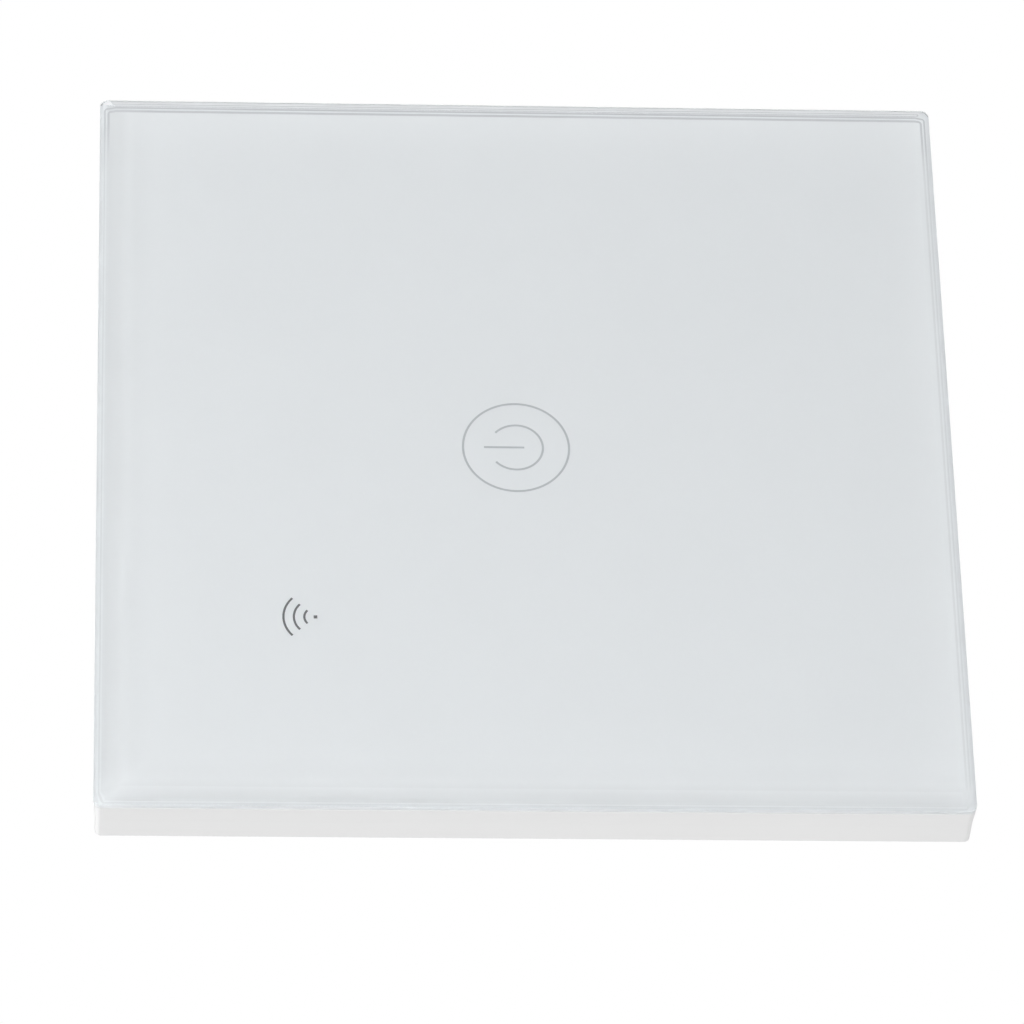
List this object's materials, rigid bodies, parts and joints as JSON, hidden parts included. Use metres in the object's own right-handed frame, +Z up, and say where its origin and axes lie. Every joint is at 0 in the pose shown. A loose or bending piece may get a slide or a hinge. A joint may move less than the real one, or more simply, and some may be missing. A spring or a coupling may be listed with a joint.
{
  "type": "touch light switch",
  "caption": "Square glass-faced touch light switch: a clip-on panel with a printed touch mark over a wall-box base that holds a relay power module with screw terminals.",
  "frame": {"origin": "centre of the base's back face, in the plane of the wall", "axes": "+Z up the wall, -Y out of the wall towards the user, +X to the user's right"},
  "size_m": [0.086, 0.0341, 0.086],
  "materials": {
    "glass": "clear float glass with polished edges",
    "white_print": "white ceramic ink seen through the glass",
    "adhesive": "double-sided adhesive sheet",
    "panel_plastic": "satin white moulded plastic",
    "touch_board_mask": "white solder mask",
    "spring_steel": "bright spring steel",
    "lamp": "yellow phosphor under clear resin",
    "clear_guide": "clear acrylic",
    "plated_screw": "zinc-plated steel",
    "chip_epoxy": "black moulded epoxy",
    "radio_board_mask": "dark solder mask",
    "shield_can": "tinned steel can",
    "black_plastic": "black moulded plastic",
    "gold_pins": "gold-flashed pins",
    "base_plastic": "white flame-retardant plastic",
    "housing_plastic": "white flame-retardant plastic with a fine texture",
    "power_board_mask": "green solder mask",
    "terminal_plastic": "green moulded plastic",
    "brass_cage": "nickel-free brass",
    "copper_tongue": "tinned copper strip",
    "relay_shell": "blue moulded plastic",
    "relay_iron": "plated soft iron",
    "coil_former": "natural nylon",
    "enamelled_wire": "enamelled copper wire",
    "ferrite": "dark ferrite",
    "yellow_tape": "yellow insulating tape",
    "can_sleeve": "dark shrink sleeve over an aluminium can",
    "film_case": "yellow moulded case",
    "disc_coat": "blue dipped coating",
    "fuse_case": "brown moulded case"
  },
  "bodies": {
    "base": {"panel_clips": "spring_steel", "housing_screws": "plated_screw", "power_chips": "chip_epoxy", "board_socket": "black_plastic", "relay_base": "black_plastic", "transformer_bobbin": "black_plastic", "base_plate": "base_plastic", "rear_housing": "housing_plastic", "power_board": "power_board_mask", "terminal_block_1": "terminal_plastic", "terminal_block_2": "terminal_plastic", "terminal_block_3": "terminal_plastic", "relay_contact": "brass_cage", "terminal_tongues": "copper_tongue", "relay_cover": "relay_shell", "relay_yoke": "relay_iron", "relay_bobbin": "coil_former", "relay_winding": "enamelled_wire", "transformer_core": "ferrite", "filter_choke": "ferrite", "transformer_winding": "yellow_tape", "electrolytic_capacitors": "can_sleeve", "safety_capacitor": "film_case", "varistor": "disc_coat", "fuse": "fuse_case"},
    "front_panel": {"glass_panel": "glass", "printed_mask": "white_print", "bond_tape": "adhesive", "panel_frame": "panel_plastic", "touch_board": "touch_board_mask", "touch_spring": "spring_steel", "indicator_leds": "lamp", "light_guide": "clear_guide", "board_screws": "plated_screw", "touch_chip": "chip_epoxy", "radio_board": "radio_board_mask", "radio_shield": "shield_can", "pin_header": "black_plastic", "header_pins": "gold_pins"},
    "relay_armature": {"relay_armature": "relay_iron", "relay_blade": "brass_cage"},
    "terminal_screw_1": {"terminal_screw_1": "plated_screw"},
    "terminal_cage_1": {"terminal_cage_1": "brass_cage"},
    "terminal_screw_2": {"terminal_screw_2": "plated_screw"},
    "terminal_cage_2": {"terminal_cage_2": "brass_cage"},
    "terminal_screw_3": {"terminal_screw_3": "plated_screw"},
    "terminal_cage_3": {"terminal_cage_3": "brass_cage"}
  },
  "joints": [
    {"name": "panel_pull", "type": "slide", "parent": "base", "child": "front_panel", "axis": [0, -1, 0], "range_m": [0, 0.014], "deforming": ["panel_clips"]},
    {"name": "terminal_screw_1_turn", "type": "hinge", "parent": "base", "child": "terminal_screw_1", "pos_m": [-0.00762, 0.0248, -0.0228], "axis": [0, -1, 0], "range_deg": [0, 2016]},
    {"name": "terminal_cage_1_rise", "type": "slide", "parent": "base", "child": "terminal_cage_1", "axis": [0, 1, 0], "range_m": [0, 0.0028]},
    {"name": "terminal_screw_2_turn", "type": "hinge", "parent": "base", "child": "terminal_screw_2", "pos_m": [0, 0.0248, -0.0228], "axis": [0, -1, 0], "range_deg": [0, 2016]},
    {"name": "terminal_cage_2_rise", "type": "slide", "parent": "base", "child": "terminal_cage_2", "axis": [0, 1, 0], "range_m": [0, 0.0028]},
    {"name": "terminal_screw_3_turn", "type": "hinge", "parent": "base", "child": "terminal_screw_3", "pos_m": [0.00762, 0.0248, -0.0228], "axis": [0, -1, 0], "range_deg": [0, 2016]},
    {"name": "terminal_cage_3_rise", "type": "slide", "parent": "base", "child": "terminal_cage_3", "axis": [0, 1, 0], "range_m": [0, 0.0028]},
    {"name": "relay_armature_tilt", "type": "hinge", "parent": "base", "child": "relay_armature", "pos_m": [0.01075, 0.0206, 0.0187], "axis": [-1, 0, 0], "range_deg": [0, 3.2], "stiffness_Nm_per_rad": 0.004, "springref_deg": -5.73}
  ],
  "couplings": [
    {"joint": "terminal_screw_1_turn", "follows": "terminal_cage_1_rise", "rad_per_m": 12566},
    {"joint": "terminal_screw_2_turn", "follows": "terminal_cage_2_rise", "rad_per_m": 12566},
    {"joint": "terminal_screw_3_turn", "follows": "terminal_cage_3_rise", "rad_per_m": 12566}
  ]
}
